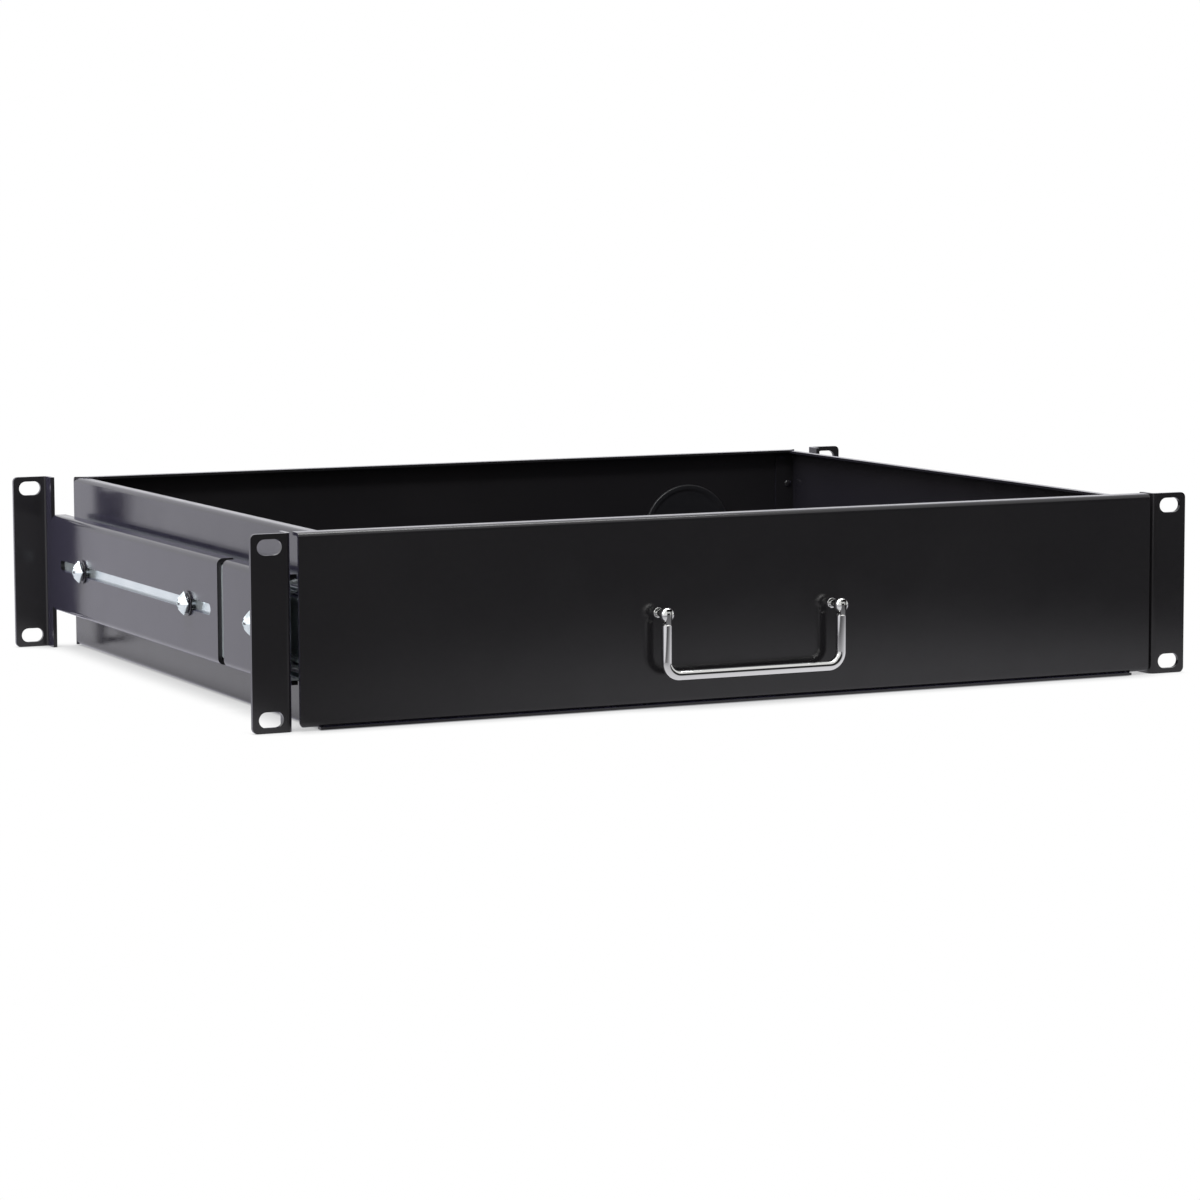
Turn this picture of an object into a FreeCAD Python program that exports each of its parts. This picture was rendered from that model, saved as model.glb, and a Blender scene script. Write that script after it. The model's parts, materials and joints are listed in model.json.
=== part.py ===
import FreeCAD, Part
import math
import os
import re

import Sketcher

# Two-unit 19 inch rack drawer on telescopic ball slides.
# Frame: origin at the centre of the front hole pattern, on the rear face of the front ears.
# +X to the drawer's right, +Y into the rack, +Z up.  The drawer is shut.
# Every right-hand piece is built; its left-hand twin is its mirror image in the YZ plane.

doc = FreeCAD.newDocument("RackDrawer")

# ---------------------------------------------------------------- driving sizes, mm

SIZES = [
    # rack interface
    ("rack_wide", 482.6, "over both ears"),
    ("ear_tall", 88.1, "two rack units less the usual clearance"),
    ("ear_wide", 17.1, "ear beyond its bracket's side plate"),
    ("hole_edge", 8.75, "hole to the ear's outer edge"),
    ("hole_end", 5.95, "hole to the ear's top or bottom edge"),
    ("hole_slot_long", 11.6, "ear slot, end to end"),
    ("hole_slot_tall", 7.1, "ear slot, width"),
    # brackets
    ("bracket_sheet", 2.0, "bracket steel"),
    ("bend_inner", 1.0, "inside radius of every sheet bend"),
    ("ear_corner", 2.5, "corner radius of ears and bracket ends"),
    ("strip_deep", 9.0, "full-height strip behind an ear"),
    ("channel_flange", 8.0, "width of a channel flange, outside"),
    ("channel_play", 0.15, "between slide and channel flange"),
    ("front_bracket_long", 82.0, "ear face to channel end"),
    ("bracket_gap", 7.9, "front bracket's end to rear bracket's end"),
    ("ear_past_slide", 8.1, "slide's end to the rear ear's face that meets the rack post"),
    ("slot_front_rim", 9.6, "rear bracket's end to its adjustment slot"),
    ("slot_rear_rim", 23.6, "adjustment slot to the rear ear"),
    ("seat_play", 0.05, "paint film between plates that slide on each other"),
    # telescopic slide
    ("slide_tall", 45.0, "over the outer member's races"),
    ("slide_front", 3.0, "front end of the outer member"),
    ("slide_long", 340.0, "outer member"),
    ("slide_sheet", 1.0, "slide steel"),
    ("race_swell", 0.6, "how far a rolled race stands out of its flange"),
    ("big_ball", 2.0, "radius of the outer row's balls"),
    ("small_ball", 1.6, "radius of the inner row's balls"),
    ("ball_play", 0.2, "between a ball and its race"),
    ("slide_bend", 0.6, "inside radius of the slide's bends"),
    ("race_flat", 0.1, "flat between a race and its neighbour"),
    ("outer_lip_drop", 0.9, "how far the outer member's lip turns in to keep the balls"),
    ("middle_lip_drop", 0.5, "how far the middle member's lip turns in to keep the balls"),
    ("middle_inset", 7.0, "middle member shorter than the outer at its front"),
    ("bumper_long", 6.0, "closing bumper, along the slide"),
    ("bumper_shy", 4.0, "bumper below the middle member's flange"),
    ("bumper_gap", 0.5, "bumper to middle member when shut"),
    ("cage_sheet", 0.7, "ball cage strip"),
    ("cage_rim", 0.6, "cage strip beyond a ball window"),
    ("cage_gap", 0.4, "web of a member to web of a cage"),
    ("cage_long", 150.0, "ball cage"),
    ("ball_pitch", 60.0, "between the balls of a row"),
    ("ball_window", 0.05, "between a ball and its cage window"),
    # bracket screws
    ("screw_r", 2.5, "M5 shank radius"),
    ("screw_head_r", 5.6, "pan head radius"),
    ("screw_head_tall", 3.4, "pan head height"),
    ("washer_r", 5.9, "washer outer radius"),
    ("washers_tall", 2.3, "plain washer and spring washer together"),
    ("shank_play", 0.1, "between shank and washer bores"),
    ("hole_play", 0.25, "between a screw and its clearance hole"),
    ("slot_play", 0.15, "between a screw and the adjustment slot"),
    ("push_play", 31.0, "adjustment slot's front end to its first screw"),
    ("pull_play", 37.0, "last screw to the adjustment slot's rear end"),
    # drawer box
    ("drawer_sheet", 1.2, "drawer steel"),
    ("floor_clear", 0.4, "drawer floor above the ears' feet"),
    ("side_shy", 0.9, "drawer sides below the ears' tops"),
    ("side_return", 5.8, "inward return along a side's top"),
    ("corner_flange", 12.0, "inward flange at each end of a side"),
    ("wall_shy", 3.6, "rear wall ahead of the rear ears"),
    ("mitre_seam", 0.3, "gap left where two folded edges meet"),
    ("rear_rise", 0.5, "rear wall above the sides"),
    ("rear_return", 6.0, "forward return along the rear wall's top"),
    ("panel_sheet", 1.5, "front panel steel"),
    ("panel_gap", 4.4, "panel's end to the bracket's outer face"),
    ("panel_proud", 2.3, "front panel ahead of the ears"),
    ("panel_return", 8.0, "rearward return along the panel's top"),
    ("panel_foot", 14.0, "rearward foot welded on the floor"),
    ("panel_corner", 2.5, "corner radius of the panel"),
    # cable entries in the rear wall
    ("cable_hole_r", 24.0, "cable entry radius"),
    ("cable_hole_at", 143.0, "cable entry from the middle"),
    ("plug_lap", 2.2, "blanking plug flange over its hole's edge"),
    ("plug_flange_tall", 1.6, "blanking plug flange"),
    ("plug_wall", 1.2, "blanking plug skirt"),
    ("plug_play", 0.2, "blanking plug skirt in its hole"),
    ("plug_skirt", 5.0, "how far the skirt passes the wall"),
    # bail handle
    ("bail_wide", 94.8, "over both legs"),
    ("bail_drop", 28.2, "pivot to the grip's centre line"),
    ("bail_r", 2.4, "wire radius"),
    ("bail_bend", 6.4, "radius of the wire's corners, centre line"),
    ("pivot_off", 9.2, "pivot ahead of the front panel"),
    ("post_head_r", 3.6, "forked ball head of a post"),
    ("post_neck_r", 1.9, "neck of a post"),
    ("post_foot_r", 3.4, "foot flange of a post"),
    ("post_foot_tall", 1.0, "foot flange of a post"),
    ("fork_deep", 2.9, "pivot to the bottom of the fork's slot"),
    ("post_roof", 1.0, "closed top of the fork's slot"),
    ("tongue_wide", 2.4, "flattened end of the wire"),
    ("tongue_r", 2.0, "rounded end of the tongue"),
    ("fork_play", 0.2, "tongue to fork, each side"),
    ("pin_r", 1.0, "pivot pin"),
    ("pin_play", 0.05, "pin in the tongue's hole"),
    ("stud_r", 2.0, "M4 stud of a post"),
    ("stud_long", 9.0, "stud behind the panel's front"),
    ("nut_flats", 7.0, "M4 nut across flats"),
    ("nut_tall", 3.2, "M4 nut"),
]

sizes = doc.addObject("Spreadsheet::Sheet", "Sizes")
for row, (alias, number, note) in enumerate(SIZES, start=1):
    sizes.set(f"A{row}", alias)
    sizes.set(f"B{row}", str(number))
    sizes.set(f"C{row}", note)
    sizes.setAlias(f"B{row}", alias)
doc.recompute()

NAMES = {alias for alias, number, note in SIZES}

# ---------------------------------------------------------------- places worked out from the sizes
# Each is a formula over the sheet's names, so a changed size moves everything that hangs on it.

BEND_OUTER = "(bend_inner + bracket_sheet)"
DRAWER_BEND = "(bend_inner + drawer_sheet)"
PANEL_BEND = "(bend_inner + panel_sheet)"

HOLE_OUT = "(rack_wide / 2 - hole_edge)"
HOLE_UP = "(ear_tall / 2 - hole_end)"
PLATE_OUT = "(rack_wide / 2 - ear_wide)"
PLATE_IN = f"({PLATE_OUT} - bracket_sheet)"
SLIDE_BACK = f"({PLATE_IN} - seat_play)"
CHANNEL_HALF = "(slide_tall / 2 + channel_play + bracket_sheet)"

# half widths of a rolled race where its arc meets the flat of the flange, inside and outside
BIG_RACE = "(big_ball + ball_play)"
SMALL_RACE = "(small_ball + ball_play)"
BIG_GROOVE = f"sqrt(({BIG_RACE})^2 - ({BIG_RACE} - race_swell)^2)"
BIG_BULGE = f"sqrt(({BIG_RACE} + slide_sheet)^2 - ({BIG_RACE} + slide_sheet - race_swell)^2)"
SMALL_GROOVE = f"sqrt(({SMALL_RACE})^2 - ({SMALL_RACE} - race_swell)^2)"
SMALL_BULGE = f"sqrt(({SMALL_RACE} + slide_sheet)^2 - ({SMALL_RACE} + slide_sheet - race_swell)^2)"

# depths in the slide, from its back towards the drawer
MIDDLE_BACK = "(slide_sheet + 2 * cage_gap + cage_sheet)"
MIDDLE_FACE = f"({MIDDLE_BACK} + slide_sheet)"
BIG_ROW_IN = f"({MIDDLE_FACE} + {BIG_GROOVE} + race_flat)"
OUTER_LIP = f"({BIG_ROW_IN} + {BIG_BULGE} + race_flat + slide_bend + slide_sheet)"
SMALL_ROW_IN = f"({BIG_ROW_IN} + {BIG_GROOVE} + {SMALL_BULGE} + race_flat)"
MIDDLE_LIP = f"({SMALL_ROW_IN} + {SMALL_BULGE} + race_flat + slide_sheet)"
SLIDE_DEEP = f"({SMALL_ROW_IN} + {SMALL_BULGE} + race_flat + slide_bend + slide_sheet)"
INNER_TIP = f"({MIDDLE_FACE} + 2 * cage_gap + cage_sheet)"

# heights in the slide, from its middle
OUTER_IN = "(slide_tall / 2 - race_swell - slide_sheet)"
BIG_ROW_UP = f"({OUTER_IN} + race_swell - {BIG_RACE})"
MIDDLE_OUT = f"({BIG_ROW_UP} - {BIG_RACE} + race_swell)"
MIDDLE_IN = f"({MIDDLE_OUT} - slide_sheet)"
SMALL_ROW_UP = f"({MIDDLE_IN} + race_swell - {SMALL_RACE})"
INNER_OUT = f"({SMALL_ROW_UP} - {SMALL_RACE} + race_swell)"

# along the rack
SLIDE_END = "(slide_front + slide_long)"
MIDDLE_FRONT = "(slide_front + middle_inset)"
MIDDLE_END = f"({SLIDE_END} - bumper_long - bumper_gap)"
CAGE_FRONT = "(slide_front + slide_long / 2 - cage_long / 2)"
REAR_EAR = f"({SLIDE_END} + ear_past_slide)"
REAR_BRACKET_END = "(front_bracket_long + bracket_gap)"
SLOT_FRONT = f"({REAR_BRACKET_END} + slot_front_rim)"
SLOT_REAR = f"({REAR_EAR} - slot_rear_rim)"
SLOT_HALF = "(screw_r + slot_play)"
FRONT_SCREWS = ["(front_bracket_long / 2)"]
REAR_SCREWS = [f"({SLOT_FRONT} + push_play)", f"({SLOT_REAR} - pull_play)"]
WALL_BACK = f"({REAR_EAR} - wall_shy)"

DRAWER_HALF = f"({SLIDE_BACK} - {SLIDE_DEEP} - seat_play)"
DRAWER_IN = f"({DRAWER_HALF} - drawer_sheet)"
EAR_FOOT = "(-ear_tall / 2)"
FLOOR_UNDER = f"({EAR_FOOT} + floor_clear)"
FLOOR_TOP = f"({FLOOR_UNDER} + drawer_sheet)"
SIDE_TOP = "(ear_tall / 2 - side_shy)"
WALL_TOP = f"({SIDE_TOP} + rear_rise)"
WALL_FRONT = f"({WALL_BACK} - drawer_sheet)"
PANEL_FRONT = "(-bracket_sheet - panel_proud)"
PANEL_BACK = f"({PANEL_FRONT} + panel_sheet)"
PANEL_TOP = "(ear_tall / 2)"
PANEL_HALF = f"({PLATE_OUT} - panel_gap)"
PANEL_UNDER = f"({PANEL_TOP} - panel_sheet)"
RETURN_END = f"({PANEL_FRONT} + panel_return + mitre_seam)"
FOOT_HALF = f"({DRAWER_IN} - bend_inner - mitre_seam)"

PIVOT_Y = f"({PANEL_FRONT} - pivot_off)"
HALF_BAIL = "(bail_wide / 2 - bail_r)"
TONGUE_TOP = "(post_head_r + fork_play * 2)"

# a ball cut with flats has its corners on the true ball when its bars have this share of the radius
HALF_FACET = 22.5
FLATTED = f"(1 / (cos({HALF_FACET}) * sqrt(1 + 2 * tan({HALF_FACET})^2)))"


# ---------------------------------------------------------------- helpers

def bound(formula):
    """The formula as a document expression over the sheet."""
    return re.sub(r"[a-z][a-z_]*", lambda m: f"Sizes.{m[0]}" if m[0] in NAMES else m[0], str(formula))


def number(formula):
    """The number that a formula gives with the sheet's present values."""
    return float(sizes.evalExpression(bound(formula)))


def bind(item, **formulas):
    """Bind properties to formulas; a double underscore stands for a dot in the property's path."""
    for path, formula in formulas.items():
        item.setExpression(path.replace("__", "."), bound(formula))


def place(item, x=0, y=0, z=0, axis=None, angle=0):
    """Stand the item at a place given by formulas, turned about an axis."""
    if axis:
        item.Placement = FreeCAD.Placement(FreeCAD.Vector(), FreeCAD.Rotation(FreeCAD.Vector(*axis), angle))
    bind(item, Placement__Base__x=x, Placement__Base__y=y, Placement__Base__z=z)


def new_body(name):
    """A PartDesign body that will be one piece, or the pattern of a fastener."""
    body = doc.addObject("PartDesign::Body", name)
    body.Label = name
    return body


def new_sketch(body, name, role, lift):
    """An empty sketch on one of the body's origin planes, lifted along the plane's normal."""
    sketch = body.newObject("Sketcher::SketchObject", f"{body.Name}_{name}")
    plane = next(item for item in body.Origin.OriginFeatures if item.Role == role)
    sketch.AttachmentSupport = [(plane, "")]
    sketch.MapMode = "FlatFace"
    if lift is not None:
        bind(sketch, AttachmentOffset__Base__z=lift)
    return sketch


def pin_point(sketch, edge, end, x, y):
    """Hold one end of an edge at the place that two formulas give."""
    for kind, formula in (("DistanceX", x), ("DistanceY", y)):
        index = sketch.addConstraint(Sketcher.Constraint(kind, -1, 1, edge, end, number(formula)))
        sketch.setExpression(f"Constraints[{index}]", bound(formula))


def pin_radius(sketch, edge, radius):
    """Hold the radius of a circle or an arc at a formula."""
    index = sketch.addConstraint(Sketcher.Constraint("Radius", edge, number(radius)))
    sketch.setExpression(f"Constraints[{index}]", bound(radius))


def stepped(start, goal, radius):
    """The formulas of the point that lies a radius from start towards goal, along X or along Y."""
    (x, y), (far_x, far_y) = start[:2], goal[:2]
    run_x = number(far_x) - number(x)
    run_y = number(far_y) - number(y)
    if abs(run_x) > abs(run_y):
        return f"({x} {'+' if run_x > 0 else '-'} ({radius}))", y
    return x, f"({y} {'+' if run_y > 0 else '-'} ({radius}))"


def corner_turn(before, at, after):
    """+1 where an outline turns left at a corner, -1 where it turns right."""
    run_in = [number(at[i]) - number(before[i]) for i in (0, 1)]
    run_out = [number(after[i]) - number(at[i]) for i in (0, 1)]
    return 1 if run_in[0] * run_out[1] - run_in[1] * run_out[0] > 0 else -1


def unrolled(corners):
    """The outline as points (x, y, radius, turn); radius is None where a straight edge follows.

    A corner is (x, y), or (x, y, radius) to round it, or (x, y, radius, turn) where an arc
    starts that runs to the next corner.
    """
    points = []
    for index, corner in enumerate(corners):
        before = corners[index - 1]
        after = corners[(index + 1) % len(corners)]
        if len(corner) == 4:
            points.append(corner)
        elif len(corner) == 3:
            radius = corner[2]
            points.append((*stepped(corner, before, radius), radius, corner_turn(before, corner, after)))
            points.append((*stepped(corner, after, radius), None, 0))
        else:
            points.append((*corner, None, 0))
    return points


def arc_between(start, end, radius, turn):
    """The minor arc from start to end, bending left for turn +1 and right for turn -1."""
    chord = end - start
    height = math.sqrt(max(radius ** 2 - (chord.Length / 2) ** 2, 0))
    across = FreeCAD.Vector(-chord.y, chord.x, 0).normalize()
    centre = (start + end) * 0.5 + across * height * turn
    first, last = (start, end) if turn > 0 else (end, start)
    angles = [math.atan2(spot.y - centre.y, spot.x - centre.x) for spot in (first, last)]
    return Part.ArcOfCircle(Part.Circle(centre, FreeCAD.Vector(0, 0, 1), radius), *angles)


def draw_outline(sketch, corners, closed=True):
    """Draw an outline, or an open path; every point and radius is bound to the sheet."""
    points = unrolled(corners)
    spots = [FreeCAD.Vector(number(point[0]), number(point[1]), 0) for point in points]
    first = sketch.GeometryCount
    ends = []
    runs = points if closed else points[:-1]
    for index, (x, y, radius, turn) in enumerate(runs):
        here, there = spots[index], spots[(index + 1) % len(spots)]
        if radius is None:
            edge = Part.LineSegment(here, there)
        else:
            edge = arc_between(here, there, number(radius), turn)
        sketch.addGeometry(edge, False)
        ends.append((2, 1) if turn < 0 else (1, 2))
    for index, (x, y, radius, turn) in enumerate(runs):
        start, end = ends[index]
        pin_point(sketch, first + index, start, x, y)
        if closed or index + 1 < len(runs):
            after = (index + 1) % len(runs)
            sketch.addConstraint(Sketcher.Constraint(
                "Coincident", first + index, end, first + after, ends[after][0]))
        else:
            pin_point(sketch, first + index, end, points[-1][0], points[-1][1])
        if radius is not None:
            pin_radius(sketch, first + index, radius)


def draw_circle(sketch, x, y, radius):
    """Draw a circle bound to the sheet."""
    centre = FreeCAD.Vector(number(x), number(y), 0)
    edge = sketch.addGeometry(Part.Circle(centre, FreeCAD.Vector(0, 0, 1), number(radius)), False)
    pin_point(sketch, edge, 3, x, y)
    pin_radius(sketch, edge, radius)


def draw_slot(sketch, x, y, long, tall):
    """Draw a round-ended slot that runs along the sketch's X."""
    radius = f"({tall} / 2)"
    reach = f"({long} / 2 - {tall} / 2)"
    draw_outline(sketch, [
        (f"{x} - {reach}", f"{y} - {radius}"),
        (f"{x} + {reach}", f"{y} - {radius}", radius, 1),
        (f"{x} + {long} / 2", y, radius, 1),
        (f"{x} + {reach}", f"{y} + {radius}"),
        (f"{x} - {reach}", f"{y} + {radius}", radius, 1),
        (f"{x} - {long} / 2", y, radius, 1),
    ])


def rectangle(low_x, low_y, high_x, high_y):
    """The corners of a rectangle."""
    return [(low_x, low_y), (high_x, low_y), (high_x, high_y), (low_x, high_y)]


def pad(body, name, role, outlines, length, lift=None, middle=False):
    """Pad outlines drawn on an origin plane."""
    sketch = new_sketch(body, f"{name}_sketch", role, lift)
    for corners in outlines:
        draw_outline(sketch, corners)
    feature = body.newObject("PartDesign::Pad", f"{body.Name}_{name}")
    feature.Profile = sketch
    feature.Midplane = middle
    bind(feature, Length=length)
    doc.recompute()
    return feature


def cut(body, name, role, draw, lift=None, length=None, reverse=False, middle=False):
    """Pocket what draw() puts on a sketch; without a length it goes right through."""
    before = body.Tip.Shape.Volume
    sketch = new_sketch(body, f"{name}_sketch", role, lift)
    draw(sketch)
    feature = body.newObject("PartDesign::Pocket", f"{body.Name}_{name}")
    feature.Profile = sketch
    if length is None:
        feature.Type = "ThroughAll"
        feature.Midplane = True
    else:
        bind(feature, Length=length)
        feature.Reversed = reverse
        feature.Midplane = middle
    doc.recompute()
    if not feature.Shape.Volume < before:
        raise RuntimeError(f"{feature.Name} cuts nothing")
    return feature


def turned(body, name, role, corners, lift=None):
    """Revolve an outline about its sketch's X axis."""
    sketch = new_sketch(body, f"{name}_sketch", role, lift)
    draw_outline(sketch, corners)
    feature = body.newObject("PartDesign::Revolution", f"{body.Name}_{name}")
    feature.Profile = sketch
    feature.ReferenceAxis = (sketch, ["H_Axis"])
    feature.Angle = 360
    doc.recompute()
    return feature


def dress_edges(body, kind, name, chosen, size):
    """Fillet or chamfer the edges of the body's tip that chosen(edge) accepts."""
    base = body.Tip
    names = [f"Edge{i}" for i, edge in enumerate(base.Shape.Edges, start=1) if chosen(edge)]
    feature = body.newObject(f"PartDesign::{kind}", f"{body.Name}_{name}")
    feature.Base = (base, names)
    bind(feature, **{"Radius" if kind == "Fillet" else "Size": size})
    doc.recompute()
    return feature


def runs_along(edge, axis):
    """True for a straight edge parallel to one of the frame's axes, 0, 1 or 2."""
    if len(edge.Vertexes) != 2 or not isinstance(edge.Curve, Part.Line):
        return False
    run = edge.Vertexes[1].Point - edge.Vertexes[0].Point
    return abs(abs(run[axis]) - run.Length) < 1e-6


def mirrored(label, source):
    """The left-hand twin of a right-hand piece."""
    twin = doc.addObject("Part::Mirroring", label)
    twin.Label = label
    twin.Source = source
    twin.Normal = (1, 0, 0)
    return twin


def group(label, pattern, spots):
    """Copies of a fastener as one piece list; each spot is (x, y, z, axis, angle)."""
    links = []
    for index, (x, y, z, axis, angle) in enumerate(spots, start=1):
        link = doc.addObject("App::Link", f"{label}_{index}")
        link.LinkedObject = pattern
        place(link, x, y, z, axis, angle)
        links.append(link)
    pieces = doc.addObject("Part::Compound", label)
    pieces.Label = label
    pieces.Links = links
    return pieces


def on_both_sides(spots):
    """Spots on the right, given as (x, y, z), and their twins turned to face left."""
    right = [(x, y, z, None, 0) for x, y, z in spots]
    left = [(f"-{x}", y, z, (0, 0, 1), 180) for x, y, z in spots]
    return right + left


# ---------------------------------------------------------------- brackets

def bracket(name, face, toward, length):
    """A rack ear with a full-height strip and a channel that hugs the slide.

    face is where the ear meets its side plate, toward is +1 where the plate runs to the rear.
    """
    body = new_body(name)
    back = f"({face} - {toward} * bracket_sheet)"
    strip = f"({face} + {toward} * strip_deep)"
    end = f"({face} + {toward} * {length})"
    pad(body, "ear", "XY_Plane", [[
        (PLATE_IN, back, BEND_OUTER),
        ("rack_wide / 2", back),
        ("rack_wide / 2", face),
        (PLATE_OUT, face, "bend_inner"),
        (PLATE_OUT, strip),
        (PLATE_IN, strip),
    ]], "ear_tall", middle=True)
    tip = f"({PLATE_OUT} - channel_flange)"
    inside = f"({CHANNEL_HALF} - bracket_sheet)"
    rearmost = end if toward > 0 else f"({strip} + bend_inner)"
    pad(body, "channel", "XZ_Plane", [[
        (tip, f"-{CHANNEL_HALF}"),
        (PLATE_OUT, f"-{CHANNEL_HALF}", BEND_OUTER),
        (PLATE_OUT, CHANNEL_HALF, BEND_OUTER),
        (tip, CHANNEL_HALF),
        (tip, inside),
        (PLATE_IN, inside, "bend_inner"),
        (PLATE_IN, f"-{inside}", "bend_inner"),
        (tip, f"-{inside}"),
    ]], f"{length} - strip_deep + bend_inner", lift=f"-{rearmost}")
    half = number("rack_wide") / 2
    dress_edges(body, "Fillet", "ear_corners",
                lambda edge: runs_along(edge, 1) and abs(edge.CenterOfMass.x - half) < 1e-6, "ear_corner")

    def rack_slots(sketch):
        for up in (HOLE_UP, f"(-{HOLE_UP})"):
            draw_slot(sketch, HOLE_OUT, up, "hole_slot_long", "hole_slot_tall")

    cut(body, "rack_slots", "XZ_Plane", rack_slots)
    return body


def front_bracket():
    body = bracket("front_bracket_right", "0", 1, "front_bracket_long")
    cut(body, "screw_hole", "YZ_Plane",
        lambda sketch: draw_circle(sketch, FRONT_SCREWS[0], "0", "screw_r + hole_play"))
    return body


def rear_bracket():
    body = bracket("rear_bracket_right", REAR_EAR, -1, f"({REAR_EAR} - {REAR_BRACKET_END})")
    middle = f"(({SLOT_FRONT} + {SLOT_REAR}) / 2)"
    cut(body, "depth_slot", "YZ_Plane",
        lambda sketch: draw_slot(sketch, middle, "0", f"({SLOT_REAR} - {SLOT_FRONT})", f"(2 * {SLOT_HALF})"))
    return body


# ---------------------------------------------------------------- telescopic slide

def slide_section(half):
    """A closed slide section from its upper half, given as depths in the slide and heights.

    The half runs from the middle height up the outside, round the flange and back inside.
    """
    upper = [(f"({SLIDE_BACK} - {corner[0]})", *corner[1:]) for corner in half]
    lower = []
    for index in range(len(upper) - 1, -1, -1):
        x, y, *rest = upper[index]
        starts_arc = index > 0 and len(upper[index - 1]) == 4
        if starts_arc:
            rest = upper[index - 1][2:]
        elif len(rest) == 2:
            rest = []
        lower.append((x, f"(-{y})", *rest))
    return upper + lower


def slide_member(name, half, front, length):
    body = new_body(name)
    pad(body, "rolled", "XZ_Plane", [slide_section(half)], length, lift=f"-({front} + {length})")
    return body


def outer_member():
    """The member on the brackets: balls run in the grooves inside its flanges."""
    out = f"({OUTER_IN} + slide_sheet)"
    lip_foot = f"({OUTER_IN} - outer_lip_drop)"
    lip_in = f"({OUTER_LIP} - slide_sheet)"
    wide = f"({BIG_RACE} + slide_sheet)"
    body = slide_member("outer_member_right", [
        ("0", out, "slide_bend + slide_sheet"),
        (f"({BIG_ROW_IN} - {BIG_BULGE})", out, wide, 1),
        (f"({BIG_ROW_IN} + {BIG_BULGE})", out),
        (OUTER_LIP, out, "slide_bend + slide_sheet"),
        (OUTER_LIP, lip_foot),
        (lip_in, lip_foot),
        (lip_in, OUTER_IN),
        (f"({BIG_ROW_IN} + {BIG_GROOVE})", OUTER_IN, BIG_RACE, -1),
        (f"({BIG_ROW_IN} - {BIG_GROOVE})", OUTER_IN),
        ("slide_sheet", OUTER_IN, "slide_bend"),
    ], "slide_front", "slide_long")

    def tapped(sketch):
        for at in FRONT_SCREWS + REAR_SCREWS:
            draw_circle(sketch, at, "0", "screw_r")

    cut(body, "tapped_holes", "YZ_Plane", tapped)
    return body


def middle_member():
    """The member between: its flanges carry an outer groove and, further in, an inner one."""
    lip_foot = f"({MIDDLE_IN} - middle_lip_drop)"
    lip_in = f"({MIDDLE_LIP} - slide_sheet)"
    wide = f"({BIG_RACE} + slide_sheet)"
    root = f"({BIG_ROW_UP} - sqrt(({wide})^2 - ({BIG_ROW_IN} - {MIDDLE_FACE})^2))"
    return slide_member("middle_member_right", [
        (MIDDLE_BACK, MIDDLE_OUT, "slide_sheet"),
        (f"({BIG_ROW_IN} - {BIG_GROOVE})", MIDDLE_OUT, BIG_RACE, -1),
        (f"({BIG_ROW_IN} + {BIG_GROOVE})", MIDDLE_OUT),
        (f"({SMALL_ROW_IN} - {SMALL_BULGE})", MIDDLE_OUT, f"({SMALL_RACE} + slide_sheet)", 1),
        (f"({SMALL_ROW_IN} + {SMALL_BULGE})", MIDDLE_OUT),
        (MIDDLE_LIP, MIDDLE_OUT, "slide_bend"),
        (MIDDLE_LIP, lip_foot),
        (lip_in, lip_foot),
        (lip_in, MIDDLE_IN),
        (f"({SMALL_ROW_IN} + {SMALL_GROOVE})", MIDDLE_IN, SMALL_RACE, -1),
        (f"({SMALL_ROW_IN} - {SMALL_GROOVE})", MIDDLE_IN),
        (f"({BIG_ROW_IN} + {BIG_BULGE})", MIDDLE_IN, wide, 1),
        (MIDDLE_FACE, root),
    ], MIDDLE_FRONT, f"({MIDDLE_END} - {MIDDLE_FRONT})")


def inner_member():
    """The member on the drawer: balls run in the grooves outside its flanges."""
    inside = f"({INNER_OUT} - slide_sheet)"
    return slide_member("inner_member_right", [
        (f"({SLIDE_DEEP} - slide_sheet)", inside, "slide_bend"),
        (f"({SMALL_ROW_IN} + {SMALL_BULGE})", inside, f"({SMALL_RACE} + slide_sheet)", 1),
        (f"({SMALL_ROW_IN} - {SMALL_BULGE})", inside),
        (INNER_TIP, inside),
        (INNER_TIP, INNER_OUT),
        (f"({SMALL_ROW_IN} - {SMALL_GROOVE})", INNER_OUT, SMALL_RACE, -1),
        (f"({SMALL_ROW_IN} + {SMALL_GROOVE})", INNER_OUT),
        (SLIDE_DEEP, INNER_OUT, "slide_bend + slide_sheet"),
    ], "slide_front", "slide_long")


def ball_cage(name, back, row_in, row_up, ball):
    """A channel of thin strip whose two wings hold the balls in square windows."""
    top = f"({row_up} + cage_sheet / 2)"
    under = f"({row_up} - cage_sheet / 2)"
    tip = f"({row_in} + {ball} + ball_window + cage_rim)"
    body = slide_member(name, [
        (back, top, "cage_sheet"),
        (tip, top),
        (tip, under),
        (f"({back} + cage_sheet)", under),
    ], CAGE_FRONT, "cage_long")

    half = f"({ball} + ball_window)"
    row = f"({SLIDE_BACK} - {row_in})"

    def windows(sketch):
        for at in BALL_SPOTS:
            draw_outline(sketch, rectangle(f"({row} - {half})", f"({at} - {half})",
                                           f"({row} + {half})", f"({at} + {half})"))

    cut(body, "windows", "XY_Plane", windows)
    return body


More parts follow.
